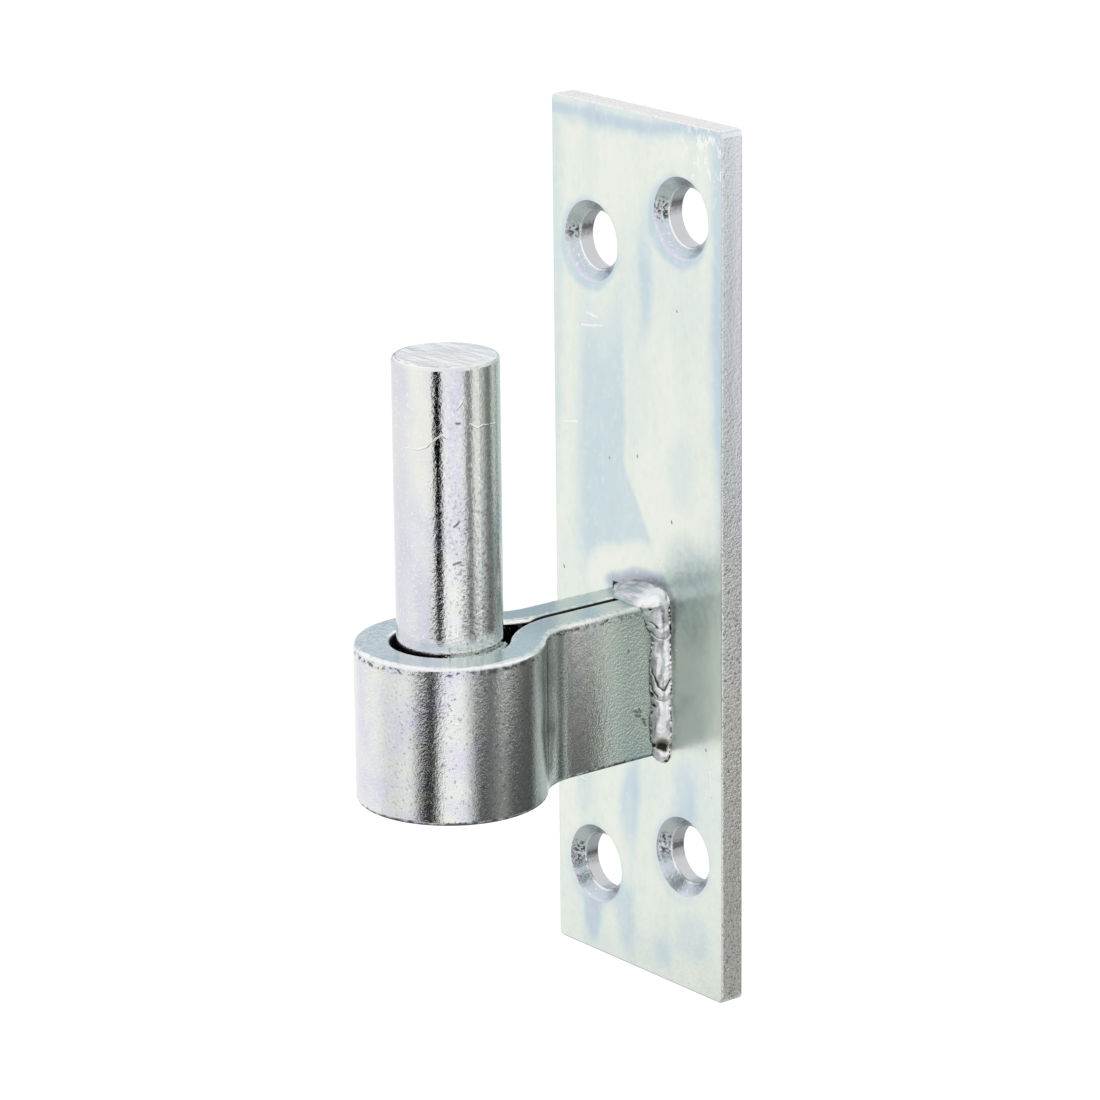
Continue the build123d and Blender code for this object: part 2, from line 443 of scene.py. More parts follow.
def plate_zinc():
    """Bright zinc under a drifting film, with coarse cropped edges and turned countersinks."""
    made, shader = finish("plate_zinc")
    place = place_on(made)
    parts = parted(made, place)
    flat = stretched(made, place, (1, 0, 1))
    ragged = less(made, cloud(made, place, 3.5, 4.0), 0.5)
    film, burnt, leg_reflection, soot_and_shadow = film_and_heat(made, place, flat, parts, ragged)
    colour = colours(made, film, film_colours)
    blotches = cloud(made, stretched(made, place, (1, 1, 0.7)), 1.1, 4.0)
    colour = layered(
        made,
        colour,
        (times(made, burnt, 0.6), burnt_colour),
        # the leg's painted reflection and painted shade beside the weld
        (leg_reflection, leg_reflection_colour),
        # soot with the bead's painted shadow
        (times(made, soot_and_shadow, 0.75), soot_and_shadow_colour),
        (ease(made, blotches, 0.50, 0.72, 0.0, 0.16), (0.98, 0.98, 0.98)),
        (ease(made, blotches, 0.48, 0.28, 0.0, 0.12), (0.55, 0.62, 0.66)),
    )

    # ticks, scratches and, by the upper right corner, feathered marks
    ticks = scratches(made, place, plate_ticks, 0.18 * MM)
    colour = over(made, times(made, ticks, 0.8), colour, tick_colour)
    marks = scratches(made, place, plate_scratches, 0.22 * MM)
    by_corner = fade(made, apart(made, flat, feather_middle), 8.5, 3)
    on_front = fade(made, parts["Y"], -3.0, -3.5)
    feathers = cloud(made, stretched(made, place, (1, 1, 0.45)), 0.9, 3.0)
    feathers = times(made, ease(made, feathers, 0.50, 0.60), by_corner, on_front)
    pale = most(made, marks, feathers)
    colour = over(made, times(made, pale, 0.85), colour, plate_scratch_colour)

    # the cropped ends and sides are coarse and grey
    to_side = less(made, plate_high.x, unsigned(made, parts["X"]))
    to_end = less(made, plate_high.z, unsigned(made, parts["Z"]))
    side = ease(made, to_side, cropped_skin, 0.6 * cropped_skin)
    end = ease(made, to_end, cropped_skin, 0.6 * cropped_skin)
    grit = cloud(made, place, 0.42, 3.0, 0.6)
    high = fade(made, parts["Z"], -30, 35)
    to_back = fade(made, parts["Y"], -2.2, -0.8)
    smooth = fade(made, parts["Z"], -10, 40)
    smooth = times(made, smooth, fade(made, parts["Y"], -3.4, -1.8, 0.7, 1.0))
    coarse = span(made, smooth, 1.0, 0.25)
    side_colour = layered(
        made,
        over(made, high, (0.97, 0.97, 0.91), (0.76, 0.80, 0.82)),
        (times(made, to_back, high), (0.86, 0.86, 0.95)),
        (times(made, ease(made, grit, 0.45, 0.32), coarse), (0.42, 0.42, 0.40)),
        (ease(made, grit, 0.60, 0.74, 0.0, 0.8), (0.97, 0.97, 0.97)),
    )
    colour = over(made, side, colour, side_colour)
    end_colour = over(made, ease(made, grit, 0.50, 0.30), (0.90, 0.86, 0.86), (0.66, 0.68, 0.67))
    colour = over(made, end, colour, end_colour)

    # the countersinks were cut with a chattering tool; each bore has a painted highlight along its
    # lip, and its wall is painted darker, a painted shade
    hole, upper, chattered = hole_shade(made, flat, parts["Z"])
    bored = ease(made, hole, bore_radius + 0.12 * MM, bore_radius + 0.04 * MM)
    cut = ease(made, hole, sink_radius + 0.05 * MM, sink_radius - 0.1 * MM)
    cut = times(made, cut, fade(made, parts["Y"], -1.9, -2.1))
    cut = most(made, cut, bored)
    lip_highlight = ease(made, hole, bore_radius + 0.34 * MM, bore_radius + 0.18 * MM)
    lip_highlight = times(made, lip_highlight, less(made, 1.0, bored))
    patch = cloud(made, place, 0.45, 3.0)
    cut_colour = layered(
        made,
        over(made, cloud(made, place, 1.4), (0.48, 0.58, 0.62), (0.66, 0.70, 0.78)),
        (times(made, upper, 0.9), (0.74, 0.82, 0.78)),
        (times(made, chattered, ease(made, patch, 0.52, 0.42)), (0.10, 0.10, 0.11)),
        (ease(made, patch, 0.56, 0.70, 0.0, 0.7), (0.90, 0.92, 0.94)),
        (fade(made, hole, 5.6, 6.2, 0.0, 0.55), (0.80, 0.78, 0.88)),
        (lip_highlight, (0.92, 0.93, 0.94)),
        # the bore's wall, painted darker as painted shade
        (bored, (0.60, 0.61, 0.63)),
    )
    colour = over(made, cut, colour, cut_colour)

    waves = cloud(made, stretched(made, place, (1, 1, 0.35)), 3.5)
    rough_sides = most(made, times(made, side, coarse), times(made, end, 0.25))
    normal = dented(
        made,
        (waves, 0.045),
        (cloud(made, place, 0.6, 2.0), 0.014),
        (times(made, patch, cut), 0.05),
        (times(made, grit, rough_sides), 0.14),
        (less(made, pale, ticks), 0.03),
    )
    roughness = span(made, cloud(made, place, 9, 2.0), 0.19, 0.28)
    put_on(made, shader, colour, roughness, normal)
    return made


def wear(node, made):
    """Puts a finish on a CAD piece."""
    for slot in frame["nodes"][node].material_slots:
        slot.material = made


wear("back_plate", plate_zinc())

# The eye is one flat bar, folded round the pin while cold. Its rolled skin is grainy, and the
# plating keeps that grain, so the bar looks darker and rougher than the plate, and greener by it.
# The crack between its legs and the inside of the eye are painted dark, as painted shade.
pin_low, pin_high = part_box("hinge_pin")
pin_middle = (pin_low + pin_high) / 2
crack_half = 0.5 * MM
eye_bore = (9.25 * MM, 8.98 * MM)
top_skin = (-7.4 * MM, -7.0 * MM)

# The bar's middle line, seen from above: a circle round the pin, the hollow neck, then the leg.
eye_line = 11.65 * MM
neck_line = 12.75 * MM
leg_line = 3.0 * MM
neck_centre = Vector((15.75, -21.36, 0)) * MM

eye_shadow = (0.42, 0.45, 0.43)
by_weld_colour = (0.31, 0.38, 0.36)
rim_highlight_colour = (0.98, 0.96, 0.95)
chalk_colour = (0.97, 0.95, 0.95)
shade_and_scale_colour = (0.035, 0.035, 0.033)
leg_scabs = (
    ((5.75, -9.5, -23.0), (5.75, -8.9, -23.4)),
    ((5.75, -9.2, -23.9), (5.75, -8.3, -24.1)),
    ((5.75, -7.9, -24.7), (5.75, -7.4, -25.0)),
    ((5.75, -8.5, -22.9), (5.75, -8.3, -23.5)),
    ((5.75, -7.6, -25.3), (5.75, -7.3, -25.8)),
    ((5.75, -10.6, -13.1), (5.75, -10.5, -13.4)),
)
leg_scratch = (
    ((6.4, -25.5, -22.2), (6.2, -24.9, -19.9)),
    ((6.2, -24.9, -19.9), (6.1, -24.6, -18.4)),
)


def off_middle_line(made, parts, from_pin):
    """How far a place lies from the bar's middle line, seen from above."""
    aside = unsigned(made, parts["X"])
    folded = step(made, "ShaderNodeCombineXYZ", {"X": aside, "Y": parts["Y"]}).outputs[0]
    off_eye = less(made, from_pin, eye_line)
    off_neck = less(made, apart(made, folded, neck_centre), neck_line)
    off_leg = less(made, aside, leg_line)
    slant = (neck_centre.y - pin_middle.y) / neck_centre.x
    behind = shifted(made, aside, -slant, less(made, parts["Y"], pin_middle.y))
    behind = sums(made, "GREATER_THAN", behind, 0.0)
    off_line = step(made, "ShaderNodeMix", {0: behind, 2: off_eye, 3: off_neck}).outputs[0]
    on_leg = sums(made, "GREATER_THAN", parts["Y"], neck_centre.y)
    return step(made, "ShaderNodeMix", {0: on_leg, 2: off_line, 3: off_leg}).outputs[0]


def specks(made, place, apart_by, radius, share):
    """1 on a few small scattered specks, and 0 between them."""
    inputs = {"Vector": place, "Scale": 1 / apart_by}
    cells = step(made, "ShaderNodeTexVoronoi", inputs, feature="F1")
    chosen = step(made, "ShaderNodeSeparateColor", {0: cells.outputs["Color"]}).outputs[0]
    near = ease(made, cells.outputs["Distance"], radius / apart_by, 0.5 * radius / apart_by)
    return times(made, near, sums(made, "LESS_THAN", chosen, share))


def strap_zinc():
    """Zinc over rolled steel: an even grain, a few pits, and a green cast on the legs."""
    made, shader = finish("strap_zinc")
    place = place_on(made)
    parts = parted(made, place)
    patches = cloud(made, place, 6, 3.0)
    eye = colours(made, patches, (
        (0.36, (0.76, 0.74, 0.86)),
        (0.50, (0.81, 0.83, 0.84)),
        (0.64, (0.85, 0.87, 0.80)),
    ))
    leg = colours(made, patches, (
        (0.34, (0.80, 0.86, 0.86)),
        (0.50, (0.87, 0.89, 0.84)),
        (0.66, (0.93, 0.92, 0.86)),
    ))
    colour = over(made, fade(made, parts["Y"], -31, -25), eye, leg)

    # darker down the eye's right, in the neck and by the weld
    eye_side = fade(made, parts["Y"], -48, -45.5)
    eye_side = times(made, eye_side, fade(made, parts["Y"], -24, -32))
    neck = fade(made, parts["Y"], -21, -24)
    neck = times(made, neck, fade(made, parts["Y"], -30, -26))
    on_right = fade(made, parts["X"], 1, 5)
    shaded = times(made, most(made, eye_side, neck), on_right, 0.65)
    by_weld = fade(made, parts["Y"], -20, -10)
    top_face = ease(made, parts["Z"], *top_skin)
    off_top = less(made, 1.0, top_face)
    to_leg = fade(made, parts["Y"], -33, -25)
    colour = layered(
        made,
        colour,
        (shaded, eye_shadow),
        (times(made, by_weld, off_top), by_weld_colour),
        (top_face, over(made, to_leg, (0.62, 0.70, 0.73), (0.50, 0.58, 0.59))),
    )

    # the grain, with painted light on the upper side of each lump and painted shade below it,
    # plainest on the legs
    grain = cloud(made, place, 0.33, 3.0, 0.6)
    below = moved(made, "ADD", place, (0, 0.03 * MM, -0.07 * MM))
    below = cloud(made, below, 0.33, 3.0, 0.6)
    shade = less(made, grain, below)
    on_legs = fade(made, parts["Y"], -33, -27, 0.25, 1.0)
    on_legs = times(made, on_legs, ease(made, top_face, 0.0, 1.0, 1.0, 0.15))
    flecks = cloud(made, place, 0.5, 2.0)
    on_eye = times(made, fade(made, parts["Y"], -30, -36), off_top)
    specked = times(made, on_eye, fade(made, parts["X"], -1, 8, 0.0, 0.7))
    dots = specks(made, place, 2.6 * MM, 0.2 * MM, 0.18)
    scabs = scratches(made, place, leg_scabs, 0.30 * MM)
    marks = scratches(made, place, leg_scratch, 0.28 * MM)
    colour = layered(
        made,
        colour,
        # painted shade below each lump and painted light above it
        (times(made, ease(made, shade, 0.0, -0.10, 0.0, 0.8), on_legs), (0.24, 0.27, 0.26)),
        (times(made, ease(made, shade, 0.0, 0.10, 0.0, 0.65), on_legs), (0.94, 0.95, 0.92)),
        (times(made, ease(made, flecks, 0.40, 0.32), specked), (0.25, 0.25, 0.25)),
        (times(made, ease(made, flecks, 0.60, 0.70, 0.0, 0.5), on_eye), (0.98, 0.98, 0.97)),
        (times(made, scabs, 0.85), (0.12, 0.13, 0.12)),
        (times(made, dots, on_legs, 0.75), (0.10, 0.10, 0.10)),
        (marks, (0.95, 0.95, 0.95)),
    )

    # the upper rims are painted white, a painted highlight along their rounding, and the eye's top
    # is chalky on its front left
    crumbs = cloud(made, place, 0.9, 4.0, 0.65)
    flat = stretched(made, place, (1, 1, 0))
    from_pin = apart(made, flat, (pin_middle.x, pin_middle.y, 0))
    rim_highlight = unsigned(made, off_middle_line(made, parts, from_pin))
    rim_highlight = fade(made, shifted(made, crumbs, 3.0 * MM, rim_highlight), 3.1, 4.2)
    chalky = times(
        made,
        fade(made, parts["X"], 6, -7),
        ease(made, crumbs, 0.38, 0.56),
        top_face,
        fade(made, parts["Y"], -34, -40),
        0.8,
    )
    colour = over(made, times(made, rim_highlight, top_face, 0.85), colour, rim_highlight_colour)
    colour = over(made, chalky, colour, chalk_colour)

    # dark: painted shade in the crack and on the inside of the eye, and scale along the lower and
    # upper edges
    crack = ease(made, unsigned(made, parts["X"]), crack_half + 0.15 * MM, crack_half)
    crack = times(made, crack, sums(made, "GREATER_THAN", parts["Y"], -31 * MM))
    hollow = ease(made, from_pin, *eye_bore)
    low_edge = shifted(made, crumbs, 2.2 * MM, less(made, parts["Z"], strap_low.z))
    scale = fade(made, low_edge, 1.75, 1.45)
    off_foot = ease(made, parts["Z"], strap_low.z + 0.04 * MM, strap_low.z + 0.16 * MM)
    scale = times(made, scale, off_foot)
    under_top = less(made, strap_high.z - 1.0 * MM, parts["Z"])
    under_top = fade(made, unsigned(made, under_top), 0.6, 0.15)
    under_top = times(made, under_top, ease(made, crumbs, 0.50, 0.42))
    scale = most(made, scale, under_top)
    # painted shade in the crack and the eye's inside, with the scale lines
    shade_and_scale = most(made, crack, hollow, times(made, scale, 0.8))
    colour = over(made, shade_and_scale, colour, shade_and_scale_colour)

    lumps = cloud(made, place, 1.2, 2.0)
    normal = dented(made, (lumps, 0.018), (grain, 0.028), (marks, 0.05))
    roughness = span(made, cloud(made, place, 2), 0.04, 0.08)
    roughness = shifted(made, shade_and_scale, 0.5, roughness)
    put_on(made, shader, colour, roughness, normal)
    return made


wear("eye_strap", strap_zinc())

# The pin is drawn round bar, smoother than the strap, cropped to length and rounded over at the
# top. It has been handled, so a few fine scratches and ticks run across it.
pin_scratches = (
    ((0.8, -47.95, 24.2), (2.7, -47.5, 24.3)),
    ((2.7, -47.5, 24.3), (4.05, -46.9, 24.8)),
    ((4.05, -46.9, 24.8), (5.9, -45.4, 26.8)),
    ((5.9, -45.4, 26.8), (6.4, -44.8, 26.2)),
    ((7.85, -41.5, 28.1), (8.0, -40.4, 27.4)),
    ((8.0, -40.4, 27.4), (7.9, -39.0, 27.6)),
    ((7.9, -39.0, 27.6), (7.15, -36.4, 27.2)),
    ((7.9, -41.0, -0.95), (8.0, -39.8, -0.55)),
    ((7.6, -42.5, 32.0), (7.2, -43.5, 30.5)),
)
pin_ticks = (
    ((6.9, -44.0, 12.8), (7.25, -43.4, 13.4)),
    ((6.8, -44.2, 7.05), (7.3, -43.3, 7.45)),
    ((7.65, -42.3, 4.7), (7.75, -42.0, 4.75)),
    ((7.15, -43.6, 28.3), (7.35, -43.1, 28.35)),
)
pin_left_colour = (0.72, 0.72, 0.79)
pin_far_left_colour = (0.80, 0.86, 0.76)
pin_right_colour = (0.60, 0.65, 0.61)
pin_top = 36.5 * MM
burr_radius = 7.42 * MM


def pin_zinc():
    """Zinc over drawn bar, grained and lilac in places, with a few scratches."""
    made, shader = finish("pin_zinc")
    place = place_on(made)
    parts = parted(made, place)
    film = cloud(made, stretched(made, place, (1, 1, 0.4)), 5, 2.0)
    colour = colours(made, film, (
        (0.34, (0.70, 0.69, 0.80)),
        (0.50, (0.79, 0.80, 0.83)),
        (0.66, (0.86, 0.87, 0.82)),
    ))
    film_left = times(made, fade(made, parts["X"], 3.0, -1.0), 0.6)
    colour = over(made, film_left, colour, pin_left_colour)
    far_left = fade(made, parts["X"], -3.0, -5.2)
    colour = over(made, far_left, colour, pin_far_left_colour)
    right = fade(made, parts["X"], 4.0, 7.4)
    right = times(made, right, fade(made, parts["Y"], -44, -40))
    colour = over(made, times(made, right, 0.7), colour, pin_right_colour)
    grain = cloud(made, place, 0.48, 3.0, 0.6)
    worn = fade(made, parts["X"], 4.5, 7.2, 0.0, 0.85)
    worn = times(made, worn, fade(made, parts["Z"], 28, 10, 0.35, 1.0))
    worn = times(made, ease(made, grain, 0.46, 0.33), worn)
    colour = over(made, worn, colour, (0.33, 0.34, 0.33))
    colour = over(made, ease(made, grain, 0.56, 0.68, 0.0, 0.7), colour, (0.97, 0.97, 0.97))
    ticks = scratches(made, place, pin_ticks, 0.22 * MM)
    colour = over(made, times(made, ticks, 0.8), colour, (0.14, 0.14, 0.14))
    lines = scratches(made, place, pin_scratches, 0.20 * MM)
    colour = over(made, times(made, lines, 0.85), colour, (0.97, 0.94, 0.91))

    # the sawn top, with a dark line along its burr in front
    on_top = ease(made, parts["Z"], pin_top, pin_top + 0.2 * MM)
    saw = cloud(made, stretched(made, place, (0.4, 1.4, 1)), 3.5, 4.0)
    top_colour = ease(made, saw, 0.36, 0.64)
    top_colour = over(made, top_colour, (0.80, 0.79, 0.79), (0.98, 0.96, 0.95))
    colour = over(made, on_top, colour, top_colour)
    flat = stretched(made, place, (1, 1, 0))
    burr = less(made, apart(made, flat, (pin_middle.x, pin_middle.y, 0)), burr_radius)
    burr = fade(made, unsigned(made, burr), 0.16, 0.06)
    in_front = fade(made, parts["Y"], -39, -43)
    broken = ease(made, cloud(made, place, 1.6), 0.56, 0.44)
    burr = times(made, burr, on_top, in_front, broken, 0.8)
    colour = over(made, burr, colour, (0.20, 0.20, 0.20))

    normal = dented(
        made,
        (cloud(made, place, 1.1, 2.0), 0.018),
        (grain, 0.036),
        (less(made, lines, ticks), 0.03),
        (times(made, saw, on_top), 0.25),
    )
    roughness = span(made, cloud(made, place, 2), 0.035, 0.065)
    roughness = shifted(made, on_top, 0.15, roughness)
    put_on(made, shader, colour, roughness, normal)
    return made


wear("hinge_pin", pin_zinc())

# The right bead is weld metal, laid with wire in one go: a broad smooth cap over the top of the
# bar, round its corner, then three short passes down its side, each frozen in a rounded lip, and a
# crater with a last small blob where the arc was cut off. It was plated with the rest.
bead_corner = Vector((bar_half, plate_low.y, strap_high.z))
bead_sink = 0.12 * MM
cap_length = 11.0 * MM
turn_length = 3.4 * MM
side_length = 25.7 * MM
bead_rows = 430
bead_columns = 46
crown_power = 1.4

# How high or deep the marks on it are, in mm.
wave_height = 0.09
grit_height = 0.20
lip_height = 0.14
groove_depth = 0.16
crease_depth = 0.14
pit_depth = 0.36
crater_depth = 0.55
slope_depth = 0.22

# Run down the bead in mm, then the bead's reach over the plate and over the bar.
bead_stops = (
    (0.0, 0.5, 0.5),
    (1.8, 1.45, 2.0),
    (4.7, 2.15, 4.2),
    (8.0, 2.6, 4.4),
    (11.0, 2.35, 4.3),
    (14.4, 2.05, 4.2),
    (15.3, 2.05, 4.0),
    (17.6, 2.1, 3.3),
    (19.2, 2.2, 2.3),
    (20.2, 2.15, 1.95),
    (23.0, 2.3, 2.35),
    (27.0, 2.35, 2.4),
    (29.9, 2.1, 2.1),
    (33.0, 2.35, 2.45),
    (36.0, 2.2, 2.35),
    (37.9, 1.9, 1.95),
    (38.7, 2.0, 1.9),
    (39.5, 1.7, 1.2),
    (40.1, 1.0, 0.3),
)
# Where one pass ends in a lip on the next, how far each lip bows, and the hollows that froze open:
# each by its run down the bead, its share of the way from the plate to the bar, and its size.
pass_ends = (19.9, 29.8, 37.6)
lip_bow = 1.3
crater = (37.1, 0.45, 1.2)
pits = (
    (14.9, 0.60, 0.36),
    (17.4, 1.00, 0.60),
    (18.4, 0.97, 0.75),
    (28.6, 0.92, 0.55),
    (30.6, 0.84, 0.55),
    (31.6, 0.97, 0.50),
    (36.9, 0.92, 0.70),
    (38.9, 0.02, 0.70),
    (39.6, 0.25, 0.50),
)
creases = (
    ((24.6, 0.88), (26.6, 0.66)),
    ((26.6, 0.66), (28.0, 0.42)),
    ((26.3, 0.12), (28.0, 0.42)),
    ((26.9, 0.95), (29.2, 0.62)),
    ((16.9, 0.70), (18.0, 0.48)),
)


def between(stops, run):
    """The bead's two reaches at a place along it."""
    for (near, *first), (far, *last) in zip(stops, stops[1:]):
        if run <= far:
            share = (run - near) / (far - near)
            share = share * share * (3 - 2 * share)
            return [a + (b - a) * share for a, b in zip(first, last)]
    return stops[-1][1:]


def bell(distance, width):
    """1 at a line or point, falling softly to 0 at this distance."""
    share = min(abs(distance) / width, 1.0)
    return (1 - share * share) ** 2


def to_stroke(run, wide, stroke, girth):
    """How far a place on the bead is from a short straight stroke drawn on it."""
    (run_a, side_a), (run_b, side_b) = stroke
    bx, by = run_b - run_a, (side_b - side_a) * girth
    px, py = run - run_a, wide - side_a * girth
    share = max(0.0, min(1.0, (px * bx + py * by) / (bx * bx + by * by)))
    return math.hypot(px - share * bx, py - share * by)


def bead_relief(run, side, girth):
    """How far the bead stands proud of its plain round face, and how dark a hollow is there:
    painted shade in grooves, creases and the crater, and dirt in pits.
    """
    here = Vector((run, side * girth, 0.0))
    on_side = max(0.0, min(1.0, (run - 13.6) / 1.2))
    lift = wave_height * noise.noise(here * 0.7) + 0.014 * noise.noise(here * 2.4)
    lift += (1 - on_side) * 0.05 * noise.noise(Vector((run * 0.22, here.y * 1.7, 3.0)))
    lift += on_side * 0.08 * noise.noise(Vector((run * 0.3, here.y * 1.6, 7.0)))
    run += 0.35 * noise.noise(here * 1.1 + Vector((0, 0, 9)))
    wide = here.y + 0.22 * noise.noise(here * 1.3 + Vector((0, 0, 4)))
    bow = (2 * side - 1) ** 2 * lip_bow
    border = bell(side, 0.2) + bell(1 - side, 0.24)
    grit = noise.noise(here * 2.6 + Vector((0, 0, 5)))
    lift += on_side * border * grit_height * grit
    lift += (1 - on_side) * 0.10 * noise.noise(here * 1.2)
    hollow = on_side * border * max(0.0, min(1.0, 0.25 - 4.0 * grit))
    hollow = max(hollow, on_side * bell(side, 0.08) * max(0.0, min(1.0, 0.6 - 3 * grit)))
    ripple = (run + bow) * 2 * math.pi / 0.8 + 2 * noise.noise(here * 0.5)
    lift += on_side * 0.005 * math.sin(ripple)
    for end in pass_ends:
        past = run + bow - end
        groove = bell(past, 0.2)
        lift += lip_height * bell(past + 0.9, 1.0) - groove_depth * groove
        hollow = max(hollow, 0.55 * groove)
    for stroke in creases:
        line = bell(to_stroke(run, wide, stroke, girth), 0.2)
        lift -= crease_depth * line
        hollow = max(hollow, 0.85 * line)
    for where, across, size in pits:
        pit = bell(math.hypot(run - where, wide - across * girth), size)
        lift -= pit_depth * pit
        hollow = max(hollow, min(1.0, 1.3 * pit))
    where, across, size = crater
    dish = bell(math.hypot((run - where) * 0.9, wide - across * girth), size)
    # the slope above the crater is painted darker: painted shade
    slope = bell(run - where, 2.6) * (run < where) * bell(side - across, 0.6)
    lift -= crater_depth * dish + slope_depth * slope
    hollow = max(hollow, min(1.0, dish * 1.3), 0.85 * slope)
    to_ends = bell(here.x - 20.05, 20.4) ** 0.25
    return lift * to_ends, hollow


def bead_place(run, side):
    """Where a place on the bead lies: along the cap, round the corner, then down the side."""
    cap, turn = cap_length / MM, turn_length / MM
    if run < cap:
        foot = bead_corner - Vector((cap - run, 0, 0)) * MM
        outward = Vector((0, 0, 1))
    elif run < cap + turn:
        angle = (run - cap) / turn * math.pi / 2
        foot = bead_corner
        outward = Vector((math.sin(angle), 0, math.cos(angle)))
    else:
        foot = bead_corner - Vector((0, 0, run - cap - turn)) * MM
        outward = Vector((1, 0, 0))
    over_plate, over_bar = between(bead_stops, run)
    cosine, sine = math.cos(side * math.pi / 2), math.sin(side * math.pi / 2)
    lift, hollow = bead_relief(run, side, 1.2 * (over_plate + over_bar) / 2)
    forward = Vector((0, -1, 0))
    face = outward * over_plate * cosine ** crown_power + forward * over_bar * sine ** crown_power
    face += (outward * cosine + forward * sine).normalized() * lift
    sunk = foot - (outward + forward) * bead_sink
    return sunk + face * MM + (outward + forward) * bead_sink * 0.5, sunk, hollow


def add_grain(shape, middle, size):
    """A small lump of spattered metal, in mm."""
    made = bmesh.ops.create_icosphere(shape, subdivisions=3, radius=size * MM)["verts"]
    for vert in made:
        vert.co *= 1 + 0.4 * noise.noise(vert.co / (size * MM) * 1.3 + Vector(middle))
    bmesh.ops.translate(shape, verts=made, vec=Vector(middle) * MM)


def put_down(shape, name, made):
    """The shape as an object that wears this finish."""
    mesh = bpy.data.meshes.new(name)
    shape.to_mesh(mesh)
    shape.free()
    mesh.materials.append(made)
    piece = bpy.data.objects.new(name, mesh)
    bpy.context.scene.collection.objects.link(piece)
    return piece


def smoothed(shape):
    """The shape with its doubles merged and its faces turned outwards and smooth."""
    bmesh.ops.remove_doubles(shape, verts=shape.verts, dist=0.0005 * MM)
    bmesh.ops.recalc_face_normals(shape, faces=shape.faces)
    for face in shape.faces:
        face.smooth = True
    return shape


def bead_shape(start):
    """A bead from this run to its end: a grid bent to the bead's face, then closed underneath."""
    shape = bmesh.new()
    bmesh.ops.create_grid(shape, x_segments=bead_rows, y_segments=bead_columns, size=0.5)
    hollows = shape.verts.layers.float.new("hollow")
    full = (cap_length + turn_length + side_length) / MM
    feet = {}
    for vert in shape.verts:
        run = start + (vert.co.x + 0.5) * (full - start)
        vert.co, foot, vert[hollows] = bead_place(run, vert.co.y + 0.5)
        feet[tuple(vert.co)] = foot
    rim = [edge for edge in shape.edges if edge.is_boundary]
    grown = bmesh.ops.extrude_edge_only(shape, edges=rim)["geom"]
    for vert in grown:
        if isinstance(vert, bmesh.types.BMVert):
            vert.co = feet[tuple(vert.co)]
            # the closing walls underneath are painted dark: painted shade
            vert[hollows] = 1.0
    return shape


def weld_zinc():
    """Bright zinc over weld metal: silvery, lilac in patches, and dark in its hollows."""
    made, shader = finish("weld_zinc")
    place = place_on(made)
    parts = parted(made, place)
    drifts = cloud(made, stretched(made, place, (1, 1, 0.3)), 1.1, 2.0)
    colour = colours(made, drifts, (
        (0.30, (0.68, 0.72, 0.73)),
        (0.45, (0.86, 0.85, 0.90)),
        (0.58, (0.96, 0.96, 0.98)),
        (0.70, (0.60, 0.68, 0.67)),
    ))
    streaks = cloud(made, stretched(made, place, (0.18, 1, 1)), 0.9, 3.0)
    cap_colour = colours(made, streaks, (
        (0.38, (0.38, 0.44, 0.47)),
        (0.50, (0.54, 0.57, 0.61)),
        (0.62, (0.78, 0.78, 0.82)),
    ))

    # a green-grey stripe wanders down the middle of the side
    beside = less(made, parts["X"], bar_half)
    across = sums(made, "ADD", beside, less(made, parts["Y"], plate_low.y))
    across = less(made, across, 0.8 * MM)
    wander = shifted(made, cloud(made, place, 1.6, 3.0), 1.6 * MM, across)
    stripe = unsigned(made, less(made, wander, 0.6 * MM))
    stripe = fade(made, stripe, 0.45, 0.15)
    stripe = times(made, stripe, fade(made, parts["Z"], -24, -21))
    stripe = most(made, stripe, fade(made, wander, -0.9, -1.5))
    colour = over(made, times(made, stripe, 0.85), colour, (0.42, 0.50, 0.48))
    # the cap is painted whiter by the bar's corner, a painted highlight
    by_corner = fade(made, parts["X"], 3.2, 5.6)
    cap_colour = over(made, by_corner, cap_colour, (0.90, 0.91, 0.93))
    on_cap = fade(made, parts["Z"], -7.2, -6.6)
    on_cap = times(made, on_cap, sums(made, "GREATER_THAN", parts["Y"], -9 * MM))
    colour = over(made, on_cap, colour, cap_colour)
    # the hollows are painted dark: painted shade in grooves, creases, the crater and under the
    # bead, and dirt in the pits
    hollow = step(made, "ShaderNodeAttribute", {}, attribute_name="hollow").outputs["Fac"]
    dirt_and_shade = colours(made, hollow, (
        (0.15, (0.80, 0.78, 0.72)),
        (0.45, (0.45, 0.43, 0.38)),
        (0.80, (0.05, 0.045, 0.04)),
    ))
    colour = over(made, ease(made, hollow, 0.1, 0.6), colour, dirt_and_shade)
    lumps, ripples = cloud(made, place, 0.7, 2.0), cloud(made, place, 0.3, 2.0)
    normal = dented(made, (lumps, 0.03), (ripples, 0.01))
    roughness = span(made, cloud(made, place, 1), 0.22, 0.36)
    roughness = shifted(made, hollow, 0.35, roughness)
    put_on(made, shader, colour, roughness, normal)
    return made


weld_finish = weld_zinc()
spatter = (
    ((5.75, -7.3, -25.1), 0.22),
    ((5.75, -6.8, -24.2), 0.18),
    ((9.3, -4.0, -13.6), 0.15),
)
shape = bead_shape(0.0)
for middle, size in spatter:
    add_grain(shape, middle, size)
right_bead = put_down(smoothed(shape), "right_bead", weld_finish)
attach(right_bead, "root")
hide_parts("strap_weld_right")

# The left bead is the same weld down the bar's other side. The upper left corner was left bare.
left_start = (cap_length + turn_length) / MM + 1.5
shape = bead_shape(left_start)
bmesh.ops.scale(shape, verts=shape.verts, vec=(-1, 1, 1))
left_bead = put_down(smoothed(shape), "left_bead", weld_finish)
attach(left_bead, "root")
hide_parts("strap_weld_left")

